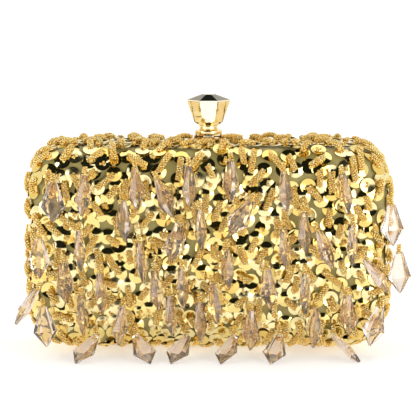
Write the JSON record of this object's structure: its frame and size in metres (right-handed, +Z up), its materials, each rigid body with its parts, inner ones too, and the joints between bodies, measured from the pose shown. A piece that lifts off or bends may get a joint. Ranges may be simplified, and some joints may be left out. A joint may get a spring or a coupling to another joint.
{
  "type": "evening bag",
  "caption": "Hard box clutch with gold sequin and bead embroidery, hanging crystal drops on the front, bottom hinges and a faceted rocking clasp.",
  "frame": {"origin": "on the ground under the middle of the whole outline, so the seam between the two halves is 10.3 mm behind it", "axes": "+X to the right seen from the front, -Y is the front with the drops, +Z up"},
  "size_m": [0.2018, 0.0785, 0.1318],
  "materials": {
    "embroidery": "gloss",
    "gold_sequins": "polished",
    "seed_beads": "gloss",
    "satin_cloth": "satin",
    "shell_plastic": "matte",
    "lining_fabric": "satin",
    "frame_metal": "polished",
    "hinge_metal": "satin",
    "clasp_metal": "polished",
    "knob_metal": "polished",
    "spring_steel": "satin",
    "rose_crystal": "polished"
  },
  "bodies": {
    "back_half": {"back_embroidery": "embroidery", "back_cloth": "satin_cloth", "back_shell": "shell_plastic", "back_lining": "lining_fabric", "back_frame": "frame_metal", "inner_pocket": "lining_fabric", "back_knuckles": "hinge_metal", "hinge_pins": "hinge_metal", "clasp_bracket": "clasp_metal", "bracket_rivets": "clasp_metal", "clasp_pin": "hinge_metal", "clasp_spring": "spring_steel"},
    "front_half": {"front_embroidery": "embroidery", "front_cloth": "satin_cloth", "front_shell": "shell_plastic", "front_lining": "lining_fabric", "front_frame": "frame_metal", "front_knuckles": "hinge_metal", "clasp_keeper": "clasp_metal", "keeper_rivets": "clasp_metal"},
    "clasp": {"clasp_lever": "clasp_metal", "clasp_collar": "clasp_metal", "clasp_knob": "knob_metal", "knob_screw": "spring_steel"},
    "drops_a": {"crystals_a": "rose_crystal", "bead_stems_a": "seed_beads"},
    "drops_b": {"crystals_b": "rose_crystal", "bead_stems_b": "seed_beads"},
    "drops_c": {"crystals_c": "rose_crystal", "bead_stems_c": "seed_beads"},
    "drops_d": {"crystals_d": "rose_crystal", "bead_stems_d": "seed_beads"},
    "drops_e": {"crystals_e": "rose_crystal", "bead_stems_e": "seed_beads"},
    "drops_f": {"crystals_f": "rose_crystal", "bead_stems_f": "seed_beads"},
    "drops_hem": {"crystals_hem": "rose_crystal", "bead_stems_hem": "seed_beads"}
  },
  "joints": [
    {"name": "front_open", "type": "hinge", "parent": "back_half", "child": "front_half", "pos_m": [-0.0024, 0.0103, 0.0026], "axis": [1, 0, 0], "range_deg": [0, 80]},
    {"name": "clasp_tilt", "type": "hinge", "parent": "back_half", "child": "clasp", "pos_m": [-0.0024, 0.0125, 0.1092], "axis": [-1, 0, 0], "range_deg": [0, 10], "stiffness_Nm_per_rad": 0.05, "springref_deg": -5.73},
    {"name": "drops_a_swing", "type": "hinge", "parent": "front_half", "child": "drops_a", "pos_m": [-0.0024, -0.0192, 0.105], "axis": [-1, 0, 0], "range_deg": [0, 20]},
    {"name": "drops_b_swing", "type": "hinge", "parent": "front_half", "child": "drops_b", "pos_m": [-0.0024, -0.0192, 0.085], "axis": [-1, 0, 0], "range_deg": [0, 20]},
    {"name": "drops_c_swing", "type": "hinge", "parent": "front_half", "child": "drops_c", "pos_m": [-0.0024, -0.0192, 0.071], "axis": [-1, 0, 0], "range_deg": [0, 20]},
    {"name": "drops_d_swing", "type": "hinge", "parent": "front_half", "child": "drops_d", "pos_m": [-0.0024, -0.0192, 0.056], "axis": [-1, 0, 0], "range_deg": [0, 20]},
    {"name": "drops_e_swing", "type": "hinge", "parent": "front_half", "child": "drops_e", "pos_m": [-0.0024, -0.0192, 0.042], "axis": [-1, 0, 0], "range_deg": [0, 12]},
    {"name": "drops_f_swing", "type": "hinge", "parent": "front_half", "child": "drops_f", "pos_m": [-0.0024, -0.0192, 0.032], "axis": [-1, 0, 0], "range_deg": [0, 12]},
    {"name": "drops_hem_swing", "type": "hinge", "parent": "front_half", "child": "drops_hem", "pos_m": [-0.0024, -0.0209, 0.017], "axis": [-1, 0, 0], "range_deg": [0, 25]}
  ]
}
